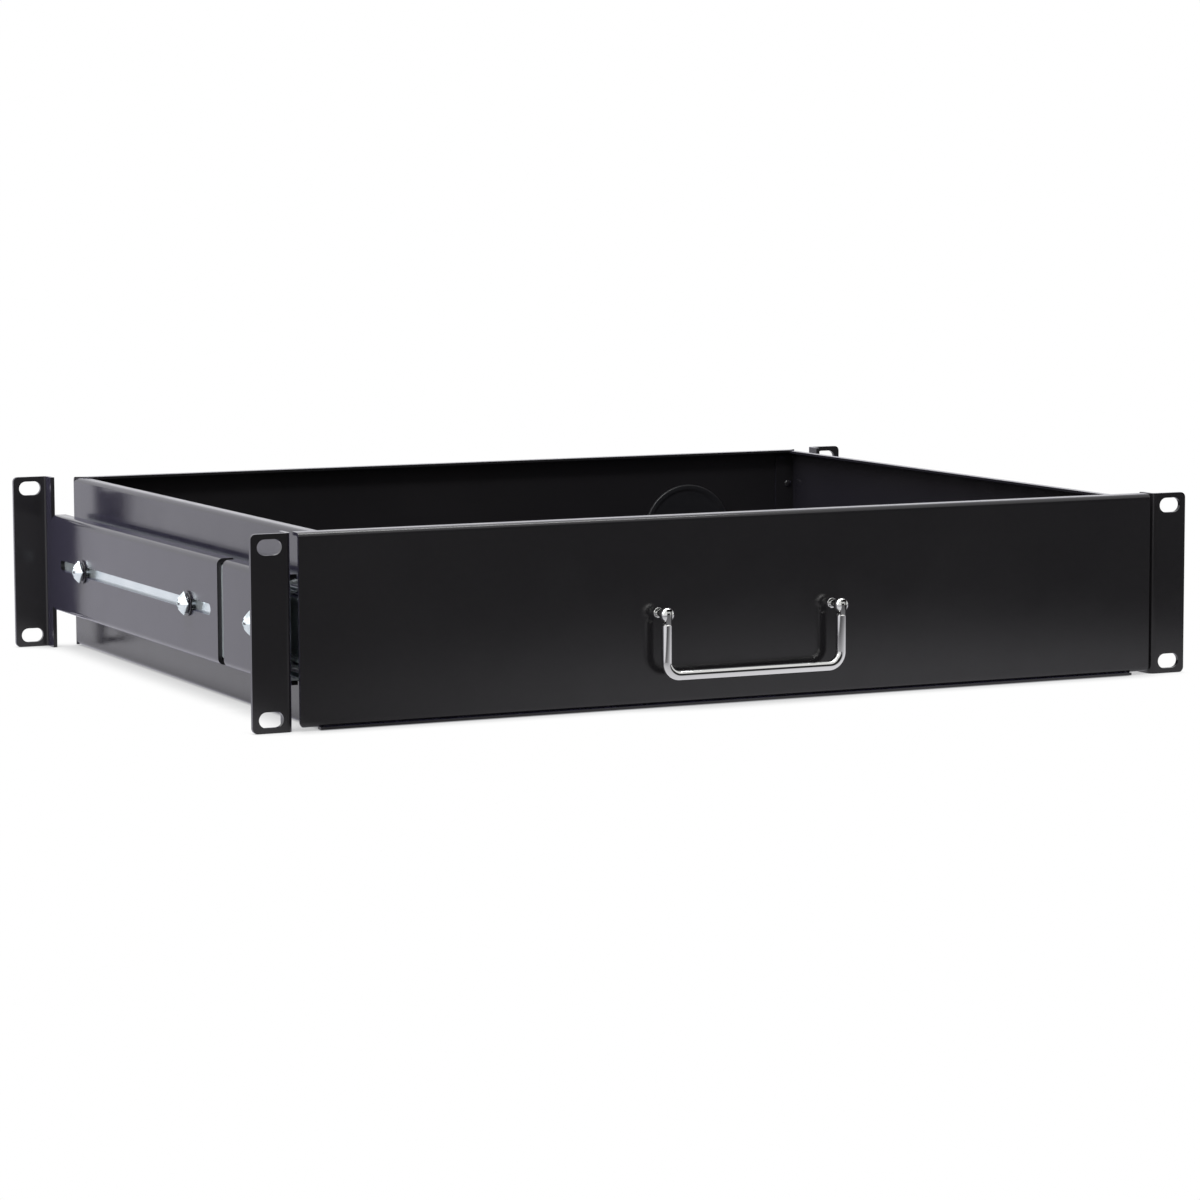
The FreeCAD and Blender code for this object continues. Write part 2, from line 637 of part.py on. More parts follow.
def ball_pattern(name, ball):
    """A ball with eighteen flats: what three crossed octagonal bars share."""
    bars = []
    for index, (axis, angle) in enumerate((((0, 0, 1), 0), ((0, 1, 0), 90), ((1, 0, 0), -90))):
        bar = doc.addObject("Part::Prism", f"{name}_bar_{index}")
        bar.Polygon = 8
        flat_side = FreeCAD.Rotation(FreeCAD.Vector(0, 0, 1), HALF_FACET)
        bar.Placement.Rotation = FreeCAD.Rotation(FreeCAD.Vector(*axis), angle) * flat_side
        bind(bar, Circumradius=f"{ball} * {FLATTED}", Height=f"2 * {ball}")
        bind(bar, **{f"Placement__Base__{'zxy'[index]}": f"-{ball}"})
        bars.append(bar)
    faceted = doc.addObject("Part::MultiCommon", name)
    faceted.Shapes = bars
    return faceted


def ball_rows(label, row_in, row_up, ball):
    """The balls of one cage, in its upper and lower wing."""
    pattern = ball_pattern(f"{label}_pattern", ball)
    x = f"({SLIDE_BACK} - {row_in})"
    spots = [(x, at, z, None, 0) for z in (row_up, f"(-{row_up})") for at in BALL_SPOTS]
    return group(label, pattern, spots)


def slide_bumper():
    """The rubber block at the outer member's rear end that stops the middle member."""
    body = new_body("slide_bumper_right")
    half = f"({MIDDLE_IN} - bumper_shy)"
    pad(body, "block", "XZ_Plane", [[
        (f"({SLIDE_BACK} - slide_sheet)", f"(-{half})"),
        (f"({SLIDE_BACK} - slide_sheet)", half),
        (f"({SLIDE_BACK} - {MIDDLE_FACE})", half, "bend_inner"),
        (f"({SLIDE_BACK} - {MIDDLE_FACE})", f"(-{half})", "bend_inner"),
    ]], "bumper_long", lift=f"-{SLIDE_END}")
    return body


# ---------------------------------------------------------------- drawer box

def drawer_tray():
    """Floor and two sides folded from one sheet, with stiffening returns and corner flanges."""
    body = new_body("drawer_tray")
    return_in = f"({DRAWER_HALF} - side_return)"
    under = f"({SIDE_TOP} - drawer_sheet)"
    right = [
        (DRAWER_HALF, FLOOR_UNDER, DRAWER_BEND),
        (DRAWER_HALF, SIDE_TOP, DRAWER_BEND),
        (return_in, SIDE_TOP),
        (return_in, under),
        (DRAWER_IN, under, "bend_inner"),
        (DRAWER_IN, FLOOR_TOP, "bend_inner"),
    ]
    left = [(f"(-{corner[0]})", *corner[1:]) for corner in reversed(right)]
    pad(body, "folded_sheet", "XZ_Plane", [right + left],
        f"{WALL_FRONT} - {PANEL_BACK}", lift=f"-{WALL_FRONT}")
    pad(body, "floor_lip", "XZ_Plane", [rectangle(f"(-{DRAWER_HALF})", FLOOR_UNDER, DRAWER_HALF, FLOOR_TOP)],
        f"{DRAWER_BEND} + panel_sheet", lift=f"-({PANEL_BACK} + {DRAWER_BEND})")
    foot = f"({FLOOR_TOP} + panel_sheet + {DRAWER_BEND})"
    for name, rear in (("front_flanges", f"({PANEL_BACK} + drawer_sheet)"), ("rear_flanges", WALL_FRONT)):
        inner = f"({DRAWER_HALF} - corner_flange)"
        outer = f"({DRAWER_IN} + drawer_sheet / 2)"
        high = f"({under} - {DRAWER_BEND})"
        pad(body, name, "XZ_Plane", [
            rectangle(inner, foot, outer, high),
            rectangle(f"(-{outer})", foot, f"(-{inner})", high),
        ], "drawer_sheet", lift=f"-{rear}")

    def mitres(sketch):
        reach = f"(side_return + {DRAWER_BEND})"
        for sign in ("", "-"):
            draw_outline(sketch, [
                (f"{sign}({DRAWER_HALF} + mitre_seam)", WALL_FRONT),
                (f"{sign}({DRAWER_HALF} - {reach})", f"({WALL_FRONT} - {reach} - mitre_seam)"),
                (f"{sign}({DRAWER_HALF} - {reach})", WALL_FRONT),
            ])

    def beside_panel(end):
        near = f"({DRAWER_HALF} - side_return - mitre_seam)"
        far = f"({DRAWER_HALF} + mitre_seam)"

        def notches(sketch):
            for low, high in ((near, far), (f"(-{far})", f"(-{near})")):
                draw_outline(sketch, rectangle(low, f"({PANEL_BACK} - mitre_seam)", high, end))

        return notches

    cut(body, "rear_mitres", "XY_Plane", mitres, lift=SIDE_TOP, length=DRAWER_BEND)
    cut(body, "return_notches", "XY_Plane", beside_panel(RETURN_END), lift=SIDE_TOP,
        length=f"{SIDE_TOP} - {PANEL_UNDER} + seat_play")
    cut(body, "bend_notches", "XY_Plane", beside_panel(f"({PANEL_BACK} + bend_inner)"), lift=SIDE_TOP,
        length=f"{SIDE_TOP} - {PANEL_UNDER} + bend_inner + seat_play")
    return body


def rear_wall():
    """The wall behind the tray, with a forward return and two cable entries."""
    body = new_body("rear_wall")
    under = f"({WALL_TOP} - drawer_sheet)"
    pad(body, "folded_sheet", "YZ_Plane", [[
        (WALL_BACK, FLOOR_UNDER),
        (WALL_BACK, WALL_TOP, DRAWER_BEND),
        (f"({WALL_FRONT} - rear_return)", WALL_TOP),
        (f"({WALL_FRONT} - rear_return)", under),
        (WALL_FRONT, under, "bend_inner"),
        (WALL_FRONT, FLOOR_UNDER),
    ]], f"2 * {DRAWER_HALF}", middle=True)

    def mitres(sketch):
        reach = f"(rear_return + {DRAWER_BEND})"
        for sign in ("", "-"):
            draw_outline(sketch, [
                (f"{sign}({DRAWER_HALF} + mitre_seam)", WALL_FRONT),
                (f"{sign}({DRAWER_HALF} + mitre_seam)", f"({WALL_FRONT} - {reach})"),
                (f"{sign}({DRAWER_HALF} - {reach})", f"({WALL_FRONT} - {reach})"),
            ])

    cut(body, "mitres", "XY_Plane", mitres, lift=WALL_TOP, length=f"{DRAWER_BEND} + drawer_sheet")

    def cable_holes(sketch):
        for sign in ("", "-"):
            draw_circle(sketch, f"{sign}cable_hole_at", "0", "cable_hole_r")

    cut(body, "cable_holes", "XZ_Plane", cable_holes)
    return body


def front_panel():
    """The drawer front: a plate with a return along its top and a foot welded on the floor."""
    body = new_body("front_panel")
    pad(body, "folded_sheet", "YZ_Plane", [[
        (PANEL_FRONT, PANEL_TOP, PANEL_BEND),
        (PANEL_FRONT, FLOOR_TOP, PANEL_BEND),
        (f"({PANEL_FRONT} + panel_foot)", FLOOR_TOP),
        (f"({PANEL_FRONT} + panel_foot)", f"({FLOOR_TOP} + panel_sheet)"),
        (PANEL_BACK, f"({FLOOR_TOP} + panel_sheet)", "bend_inner"),
        (PANEL_BACK, PANEL_UNDER, "bend_inner"),
        (f"({PANEL_FRONT} + panel_return)", PANEL_UNDER),
        (f"({PANEL_FRONT} + panel_return)", PANEL_TOP),
    ]], f"2 * {PANEL_HALF}", middle=True)

    def foot_ends(sketch):
        far = f"({PANEL_HALF} + mitre_seam)"
        end = f"({PANEL_FRONT} + panel_foot + mitre_seam)"
        draw_outline(sketch, rectangle(FOOT_HALF, PANEL_BACK, far, end))
        draw_outline(sketch, rectangle(f"(-{far})", PANEL_BACK, f"(-{FOOT_HALF})", end))

    cut(body, "foot_ends", "XY_Plane", foot_ends, lift=FLOOR_TOP,
        length=PANEL_BEND, reverse=True)

    def lower_corners(sketch):
        low = f"({FLOOR_TOP} - mitre_seam)"
        start = f"({FLOOR_TOP} + panel_corner)"
        for sign, turn in (("", -1), ("-", 1)):
            draw_outline(sketch, [
                (f"({sign}{PANEL_HALF})", start, "panel_corner", turn),
                (f"({sign}({PANEL_HALF} - panel_corner))", FLOOR_TOP),
                (f"({sign}({PANEL_HALF} - panel_corner))", low),
                (f"({sign}({PANEL_HALF} + mitre_seam))", low),
                (f"({sign}({PANEL_HALF} + mitre_seam))", start),
            ])

    cut(body, "lower_corners", "XZ_Plane", lower_corners)

    def stud_holes(sketch):
        for sign in ("", "-"):
            draw_circle(sketch, f"{sign}{HALF_BAIL}", "0", "stud_r + shank_play")

    cut(body, "stud_holes", "XZ_Plane", stud_holes)
    return body


def plug_pattern():
    """A snap-in cap that closes a cable entry: a disc inside the drawer and a skirt in the hole."""
    body = new_body("plug_pattern")
    skirt = "(cable_hole_r - plug_play)"
    rim = f"({WALL_FRONT} - plug_flange_tall)"
    disc = f"({rim} + plug_wall)"
    turned(body, "cap", "YZ_Plane", [
        (rim, "0"),
        (disc, "0"),
        (disc, f"({skirt} - plug_wall)"),
        (f"({WALL_BACK} + plug_skirt)", f"({skirt} - plug_wall)"),
        (f"({WALL_BACK} + plug_skirt)", skirt),
        (WALL_FRONT, skirt),
        (WALL_FRONT, "(cable_hole_r + plug_lap)"),
        (rim, "(cable_hole_r + plug_lap)"),
    ])
    return body


# ---------------------------------------------------------------- bracket screws

def screw_pattern():
    """A pan head screw along +X with its captive washers, from the plate's face outwards."""
    body = new_body("screw_pattern")
    tip = "(-bracket_sheet - seat_play - slide_sheet)"
    under_head = "(seat_play + washers_tall)"
    top = f"({under_head} + screw_head_tall)"
    turned(body, "screw", "XY_Plane", [
        (tip, "0"),
        (top, "0"),
        (top, "screw_head_r"),
        (under_head, "screw_head_r"),
        (under_head, "washer_r"),
        ("seat_play", "washer_r"),
        ("seat_play", "screw_r"),
        (tip, "screw_r"),
    ])
    return body


# ---------------------------------------------------------------- bail handle

def post_pattern():
    """A stud with a ball head; the head's slot is open in front and below, closed on top.

    The ball is turned from flats that touch its sphere, each an eighth of the way round.
    """
    body = new_body("post_pattern")
    flat = "(post_head_r * (sqrt(2) - 1))"
    turned(body, "turned", "YZ_Plane", [
        (f"({PIVOT_Y} - post_head_r)", "0"),
        (f"({PANEL_FRONT} + stud_long)", "0"),
        (f"({PANEL_FRONT} + stud_long)", "stud_r"),
        (PANEL_FRONT, "stud_r"),
        (PANEL_FRONT, "post_foot_r"),
        (f"({PANEL_FRONT} - post_foot_tall)", "post_foot_r"),
        (f"({PANEL_FRONT} - post_foot_tall)", "post_neck_r"),
        (f"({PIVOT_Y} + post_head_r * sqrt(2) - post_neck_r)", "post_neck_r"),
        (f"({PIVOT_Y} + {flat})", "post_head_r"),
        (f"({PIVOT_Y} - {flat})", "post_head_r"),
        (f"({PIVOT_Y} - post_head_r)", flat),
    ])
    cut(body, "fork", "YZ_Plane",
        lambda sketch: draw_outline(sketch, rectangle(
            f"({PIVOT_Y} - post_head_r * 2)", "(-post_head_r * 2)",
            f"({PIVOT_Y} + fork_deep)", "(post_head_r - post_roof)")),
        length="tongue_wide + 2 * fork_play", middle=True)
    cut(body, "pin_hole", "YZ_Plane", lambda sketch: draw_circle(sketch, PIVOT_Y, "0", "pin_r"))
    return body


def bail():
    """The wire grip: a bent U whose flattened ends hang on the pins."""
    body = new_body("handle_bail")
    route = new_sketch(body, "route", "XZ_Plane", f"-{PIVOT_Y}")
    low = "(-bail_drop)"
    top = f"(-{TONGUE_TOP})"
    draw_outline(route, [
        (f"(-{HALF_BAIL})", top),
        (f"(-{HALF_BAIL})", low, "bail_bend"),
        (HALF_BAIL, low, "bail_bend"),
        (HALF_BAIL, top),
    ], closed=False)
    section = new_sketch(body, "section", "XY_Plane", top)
    draw_circle(section, f"(-{HALF_BAIL})", PIVOT_Y, "bail_r")
    wire = body.newObject("PartDesign::AdditivePipe", "handle_bail_wire")
    wire.Profile = section
    wire.Spine = route
    doc.recompute()
    level = number(top)
    dress_edges(body, "Chamfer", "ends",
                lambda edge: isinstance(edge.Curve, Part.Circle) and abs(edge.CenterOfMass.z - level) < 1e-6,
                "bail_r * 0.4")
    for name, x in (("left_tongue", f"(-{HALF_BAIL})"), ("right_tongue", HALF_BAIL)):
        pad(body, name, "YZ_Plane", [[
            (f"({PIVOT_Y} - tongue_r)", f"({top} - bail_r)"),
            (f"({PIVOT_Y} + tongue_r)", f"({top} - bail_r)"),
            (f"({PIVOT_Y} + tongue_r)", "0", "tongue_r", 1),
            (PIVOT_Y, "tongue_r", "tongue_r", 1),
            (f"({PIVOT_Y} - tongue_r)", "0"),
        ]], "tongue_wide", lift=x, middle=True)
    cut(body, "pin_holes", "YZ_Plane", lambda sketch: draw_circle(sketch, PIVOT_Y, "0", "pin_r + pin_play"))
    return body


def nut_pattern():
    """A hexagon nut along +X from 0."""
    body = new_body("nut_pattern")
    corner = "(nut_flats / sqrt(3))"
    flat = "(nut_flats / 2)"
    pad(body, "hexagon", "YZ_Plane", [[
        (corner, "0"), (f"({corner} / 2)", flat), (f"(-{corner} / 2)", flat),
        (f"(-{corner})", "0"), (f"(-{corner} / 2)", f"(-{flat})"), (f"({corner} / 2)", f"(-{flat})"),
    ]], "nut_tall")
    cut(body, "thread", "YZ_Plane", lambda sketch: draw_circle(sketch, "0", "0", "stud_r"))
    return body


# ---------------------------------------------------------------- the assembly

BALLS_IN_ROW = 3
BALL_SPOTS = [f"({CAGE_FRONT} + cage_long / 2 + ({index} - {BALLS_IN_ROW - 1} / 2) * ball_pitch)"
              for index in range(BALLS_IN_ROW)]
TO_REAR = ((0, 0, 1), 90)

pieces = []
for piece in (
    front_bracket(),
    rear_bracket(),
    outer_member(),
    middle_member(),
    inner_member(),
    ball_cage("outer_cage_right", "(slide_sheet + cage_gap)", BIG_ROW_IN, BIG_ROW_UP, "big_ball"),
    ball_cage("inner_cage_right", f"({MIDDLE_FACE} + cage_gap)", SMALL_ROW_IN, SMALL_ROW_UP, "small_ball"),
    ball_rows("outer_balls_right", BIG_ROW_IN, BIG_ROW_UP, "big_ball"),
    ball_rows("inner_balls_right", SMALL_ROW_IN, SMALL_ROW_UP, "small_ball"),
    slide_bumper(),
):
    pieces.append(piece)
    pieces.append(mirrored(piece.Label.replace("right", "left"), piece))

pieces += [drawer_tray(), rear_wall(), front_panel(), bail()]

screw = screw_pattern()
for label, ats in (("front_bracket_screws", FRONT_SCREWS), ("rear_bracket_screws", REAR_SCREWS)):
    pieces.append(group(label, screw, on_both_sides([(PLATE_OUT, at, "0") for at in ats])))

pairs = (("cable_plugs", plug_pattern(), "cable_hole_at"), ("handle_posts", post_pattern(), HALF_BAIL))
for label, pattern, out in pairs:
    pieces.append(group(label, pattern, [(out, "0", "0", None, 0), (f"-{out}", "0", "0", None, 0)]))

pieces.append(group("handle_nuts", nut_pattern(), [
    (f"{sign}{HALF_BAIL}", PANEL_BACK, "0", *TO_REAR) for sign in ("", "-")]))

pin = doc.addObject("Part::Cylinder", "pin_pattern")
PIN_HALF = "(sqrt(post_head_r^2 - pin_r^2) - shank_play)"
bind(pin, Radius="pin_r", Height=f"2 * {PIN_HALF}")
pieces.append(group("handle_pins", pin, [
    (f"({sign}{HALF_BAIL} - {PIN_HALF})", PIVOT_Y, "0", (0, 1, 0), 90) for sign in ("", "-")]))

doc.recompute()


# ---------------------------------------------------------------- check and write

for item in doc.Objects:
    if any(word in item.State for word in ("Invalid", "Error")):
        raise RuntimeError(f"{item.Name} is {item.State}")
for piece in pieces:
    if piece.Shape.isNull() or not piece.Shape.isValid() or not piece.Shape.Solids:
        raise RuntimeError(f"{piece.Label} has no valid solid")

os.makedirs("parts", exist_ok=True)
for piece in pieces:
    piece.Shape.exportStep(f"parts/{piece.Label}.step")
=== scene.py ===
import json
import math

import bmesh
import bpy
from mathutils import Matrix, Vector


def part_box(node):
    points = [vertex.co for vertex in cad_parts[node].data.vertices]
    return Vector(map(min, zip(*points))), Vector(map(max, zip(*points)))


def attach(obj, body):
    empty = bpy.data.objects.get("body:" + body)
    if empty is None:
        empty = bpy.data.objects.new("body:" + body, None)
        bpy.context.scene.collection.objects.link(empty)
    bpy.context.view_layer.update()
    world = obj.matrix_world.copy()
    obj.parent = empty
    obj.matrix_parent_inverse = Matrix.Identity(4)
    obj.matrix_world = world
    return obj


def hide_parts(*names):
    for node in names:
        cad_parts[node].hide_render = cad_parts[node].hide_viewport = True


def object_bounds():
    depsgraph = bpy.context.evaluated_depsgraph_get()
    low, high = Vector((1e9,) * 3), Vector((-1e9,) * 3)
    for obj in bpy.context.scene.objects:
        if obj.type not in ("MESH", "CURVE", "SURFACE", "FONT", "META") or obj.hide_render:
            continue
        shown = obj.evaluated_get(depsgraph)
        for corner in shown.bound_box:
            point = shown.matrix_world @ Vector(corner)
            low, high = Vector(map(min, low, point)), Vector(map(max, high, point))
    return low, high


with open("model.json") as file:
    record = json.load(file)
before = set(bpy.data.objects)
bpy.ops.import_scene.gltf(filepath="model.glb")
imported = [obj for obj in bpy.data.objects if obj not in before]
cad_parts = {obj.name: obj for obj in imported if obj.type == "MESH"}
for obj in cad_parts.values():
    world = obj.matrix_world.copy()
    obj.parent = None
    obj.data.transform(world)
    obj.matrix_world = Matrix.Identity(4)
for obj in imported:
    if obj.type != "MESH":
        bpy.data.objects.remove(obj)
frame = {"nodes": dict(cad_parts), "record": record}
cad_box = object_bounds()

# The looks of a sliding rack drawer, around the frame of its CAD nodes.
# Metres; +X to the drawer's right, +Y into the rack, +Z up.

MM = 0.001
FLOOR_LEVEL = cad_box[0].z
WHITE = (1.0, 1.0, 1.0, 1.0)
SIDES = ((1, "right"), (-1, "left"))
ALONG_Y = Matrix.Rotation(math.pi / 2, 4, "Z")      # turns a thing made along +X

# Boxes of the CAD nodes that the detail pieces hang on
FRONT_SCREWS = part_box("front_bracket_screws")
REAR_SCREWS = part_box("rear_bracket_screws")
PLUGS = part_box("cable_plugs")
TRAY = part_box("drawer_tray")
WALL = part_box("rear_wall")
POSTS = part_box("handle_posts")
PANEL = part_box("front_panel")
DRAWER_SHEET = 1.2 * MM

# Camera, fitted to the ears of the photographed drawer
SENSOR_MM, LENS_MM = 36.0, 120.5
AZIMUTH, ELEVATION, ROLL = math.radians(-25.06), math.radians(6.31), math.radians(-0.21)
AIM, DISTANCE = Vector((0.0206, 0.1985, -0.0175)), 2.048

# Lamps: name, place, what it faces, width, height, watts
SOFTBOXES = (
    ("top_softbox", (-0.35, 0.4, 1.35), (-0.05, 0.2, 0.0), 1.8, 1.6, 20.0),
    ("left_softbox", (-1.7, 0.1, 0.75), (0.0, 0.1, 0.0), 1.3, 0.9, 9.0),
    ("inside_strip", (-0.1, 0.03, 0.55), (-0.06, 0.34, 0.0), 0.7, 0.08, 2.0),
)
SKY_STRENGTH = 0.42

# The floor, its painted shadow, and the painted pool of light that mirrors show on it
FLOOR_HALF = 6.0
FLOOR_MATTE = (0.8, 0.8, 0.8, 1.0)
# Painted contact shadow on the floor: occlusion reach and samples, darkest tone, where it fades to
# white
CONTACT_REACH, CONTACT_SAMPLES = 0.024, 16
CONTACT_TONE, CONTACT_END = (0.3, 0.3, 0.31, 1.0), 0.8
# A cool tint painted into the floor only where mirrors show it
MIRRORED_TONE = (0.96, 0.95, 1.0, 1.0)
POOL_CENTRE, POOL_HALF = (0.13, 0.55, FLOOR_LEVEL), (0.46, 0.85, 1.0)
POOL_EDGE, POOL_REST = (0.65, 1.15), 0.1            # edge in half sizes, strength outside
LEFT_EDGE = (-0.185, -0.235)                        # left of it mirrors show the floor in full painted light

# The dark card: two places on the floor and its height
FLAG_FOOT, FLAG_TALL = ((-0.9, -2.1), (3.2, -1.5)), 1.5
FLAG_TONE, FLAG_ROUGHNESS = (0.02, 0.02, 0.02), 0.9


# ---------------------------------------------------------------- shader helpers

def surface(name, color, metallic, roughness, specular=0.5):
    """A material with one principled shader; returns it with its tree and its shader."""
    material = bpy.data.materials.new(name)
    material.use_nodes = True
    tree = material.node_tree
    shader = next(node for node in tree.nodes if node.type == "BSDF_PRINCIPLED")
    shader.inputs["Base Color"].default_value = (*color, 1.0)
    shader.inputs["Metallic"].default_value = metallic
    shader.inputs["Roughness"].default_value = roughness
    shader.inputs["Specular IOR Level"].default_value = specular
    return material, tree, shader


def largest(tree, first, *others):
    """The largest of some values."""
    for other in others:
        larger = tree.nodes.new("ShaderNodeMath")
        larger.operation = "MAXIMUM"
        tree.links.new(first, larger.inputs[0])
        tree.links.new(other, larger.inputs[1])
        first = larger.outputs[0]
    return first


def mapped(tree, value, span, result, interpolation="LINEAR"):
    """A value taken from one range to another."""
    ranged = tree.nodes.new("ShaderNodeMapRange")
    ranged.interpolation_type = interpolation
    ranged.inputs["From Min"].default_value, ranged.inputs["From Max"].default_value = span
    ranged.inputs["To Min"].default_value, ranged.inputs["To Max"].default_value = result
    tree.links.new(value, ranged.inputs["Value"])
    return ranged.outputs["Result"]


def blended(tree, share, first, second, output_kind):
    """Ends a tree with two shaders: the first at a share of 0, the second at 1."""
    mix = tree.nodes.new("ShaderNodeMixShader")
    output = tree.nodes.new(output_kind)
    tree.links.new(share, mix.inputs["Fac"])
    tree.links.new(first, mix.inputs[1])
    tree.links.new(second, mix.inputs[2])
    tree.links.new(mix.outputs[0], output.inputs["Surface"])


def seen_or_mirrored(tree):
    """One where a ray comes from the camera, off a glossy surface or through glass, else 0."""
    path = tree.nodes.new("ShaderNodeLightPath")
    return largest(tree, path.outputs["Is Camera Ray"], path.outputs["Is Glossy Ray"],
                   path.outputs["Is Transmission Ray"])


# ---------------------------------------------------------------- camera, lights, floor

def look_at_photo():
    """The camera at the photograph's angle."""
    data = bpy.data.cameras.new("camera")
    data.sensor_width = SENSOR_MM
    data.lens = LENS_MM
    data.clip_start, data.clip_end = 0.05, 50.0
    camera = bpy.data.objects.new("camera", data)
    bpy.context.scene.collection.objects.link(camera)
    back = Vector((math.sin(AZIMUTH) * math.cos(ELEVATION),
                   -math.cos(AZIMUTH) * math.cos(ELEVATION),
                   math.sin(ELEVATION)))
    camera.location = AIM + DISTANCE * back
    level = (-back).to_track_quat("-Z", "Y").to_matrix().to_4x4()
    turn = level @ Matrix.Rotation(ROLL, 4, "Z")
    camera.rotation_mode = "QUATERNION"
    camera.rotation_quaternion = turn.to_quaternion()
    bpy.context.scene.camera = camera


def softbox(name, place, aim, wide, tall, watts):
    """A rectangular area lamp that faces a point and stays out of the picture."""
    data = bpy.data.lights.new(name, "AREA")
    data.shape = "RECTANGLE"
    data.size, data.size_y = wide, tall
    data.energy = watts
    lamp = bpy.data.objects.new(name, data)
    lamp.location = place
    lamp.rotation_mode = "QUATERNION"
    lamp.rotation_quaternion = (Vector(aim) - Vector(place)).to_track_quat("-Z", "Y")
    lamp.visible_camera = False
    bpy.context.scene.collection.objects.link(lamp)


def light_world():
    """White behind everything that is seen or mirrored, and a soft dim sky for the rest."""
    world = bpy.data.worlds.new("studio")
    bpy.context.scene.world = world
    world.use_nodes = True
    tree = world.node_tree
    tree.nodes.clear()
    backgrounds = []
    for strength in (SKY_STRENGTH, 1.0):
        background = tree.nodes.new("ShaderNodeBackground")
        background.inputs["Color"].default_value = WHITE
        background.inputs["Strength"].default_value = strength
        backgrounds.append(background.outputs[0])
    blended(tree, seen_or_mirrored(tree), *backgrounds, "ShaderNodeOutputWorld")


def card(name, corners, material):
    """A flat sheet of one face."""
    mesh = bpy.data.meshes.new(name)
    mesh.from_pydata(corners, [], [(0, 1, 2, 3)])
    mesh.materials.append(material)
    made = bpy.data.objects.new(name, mesh)
    bpy.context.scene.collection.objects.link(made)
    return made


def painted_light_pool(tree):
    """One to the eye; in a mirror the floor shows a painted pool of light and painted light at the
    left, dim elsewhere.
    """
    where = tree.nodes.new("ShaderNodeTexCoord").outputs["Object"]
    place = tree.nodes.new("ShaderNodeMapping")
    place.vector_type = "TEXTURE"
    place.inputs["Location"].default_value = POOL_CENTRE
    place.inputs["Scale"].default_value = POOL_HALF
    reach = tree.nodes.new("ShaderNodeVectorMath")
    reach.operation = "LENGTH"
    parts = tree.nodes.new("ShaderNodeSeparateXYZ")
    tree.links.new(where, place.inputs["Vector"])
    tree.links.new(place.outputs["Vector"], reach.inputs[0])
    tree.links.new(where, parts.inputs["Vector"])
    pool = mapped(tree, reach.outputs["Value"], POOL_EDGE, (1.0, POOL_REST), "SMOOTHSTEP")
    left = mapped(tree, parts.outputs["X"], LEFT_EDGE, (0.0, 1.0), "SMOOTHSTEP")
    path = tree.nodes.new("ShaderNodeLightPath")
    return largest(tree, pool, left, path.outputs["Is Camera Ray"])


def lay_floor():
    """A pale floor under the ears' feet: white to the camera, with a painted shadow where the
    object is near.
    """
    material = bpy.data.materials.new("floor_white")
    material.use_nodes = True
    tree = material.node_tree
    tree.nodes.clear()
    matte = tree.nodes.new("ShaderNodeBsdfDiffuse")
    matte.inputs["Color"].default_value = FLOOR_MATTE
    contact = tree.nodes.new("ShaderNodeAmbientOcclusion")
    contact.samples = CONTACT_SAMPLES
    contact.inputs["Distance"].default_value = CONTACT_REACH
    ramp = tree.nodes.new("ShaderNodeValToRGB")
    shaded, clear = ramp.color_ramp.elements
    shaded.position, shaded.color = 0.0, CONTACT_TONE
    clear.position, clear.color = CONTACT_END, WHITE
    path = tree.nodes.new("ShaderNodeLightPath")
    tone = tree.nodes.new("ShaderNodeMix")
    tone.data_type = "RGBA"
    tone.inputs["B"].default_value = MIRRORED_TONE
    glow = tree.nodes.new("ShaderNodeEmission")
    tree.links.new(contact.outputs["AO"], ramp.inputs["Fac"])
    tree.links.new(path.outputs["Is Glossy Ray"], tone.inputs["Factor"])
    tree.links.new(ramp.outputs["Color"], tone.inputs["A"])
    tree.links.new(tone.outputs["Result"], glow.inputs["Color"])
    tree.links.new(painted_light_pool(tree), glow.inputs["Strength"])
    blended(tree, seen_or_mirrored(tree), matte.outputs[0], glow.outputs[0],
            "ShaderNodeOutputMaterial")
    corners = [(x * FLOOR_HALF, y * FLOOR_HALF, FLOOR_LEVEL)
               for x, y in ((-1, -1), (1, -1), (1, 1), (-1, 1))]
    floor = card("floor", corners, material)


def hang_flag():
    """A dark card on the camera's side, which only mirrors show, keeps glare off the front."""
    near, far = FLAG_FOOT
    top = FLOOR_LEVEL + FLAG_TALL
    corners = [(*near, FLOOR_LEVEL), (*far, FLOOR_LEVEL), (*far, top), (*near, top)]
    cloth, _, _ = surface("flag_cloth", FLAG_TONE, metallic=0.0, roughness=FLAG_ROUGHNESS)
    flag = card("flag", corners, cloth)
    flag.visible_camera = flag.visible_diffuse = flag.visible_shadow = False


look_at_photo()
light_world()
for lamp in SOFTBOXES:
    softbox(*lamp)
lay_floor()
hang_flag()
bpy.context.scene.view_settings.view_transform = "Standard"


# ---------------------------------------------------------------- materials

def noise(tree, scale, detail=2.0, stretch=(1.0, 1.0, 1.0)):
    """Noise in the object's own metres, stretched along its axes."""
    where = tree.nodes.new("ShaderNodeTexCoord")
    mapping = tree.nodes.new("ShaderNodeMapping")
    mapping.inputs["Scale"].default_value = stretch
    texture = tree.nodes.new("ShaderNodeTexNoise")
    texture.inputs["Scale"].default_value = scale
    texture.inputs["Detail"].default_value = detail
    tree.links.new(where.outputs["Object"], mapping.inputs["Vector"])
    tree.links.new(mapping.outputs["Vector"], texture.inputs["Vector"])
    return texture.outputs["Fac"]


def spread(tree, value, low, high):
    """Noise, which lives around a half, taken to a range."""
    return mapped(tree, value, (0.3, 0.7), (low, high))


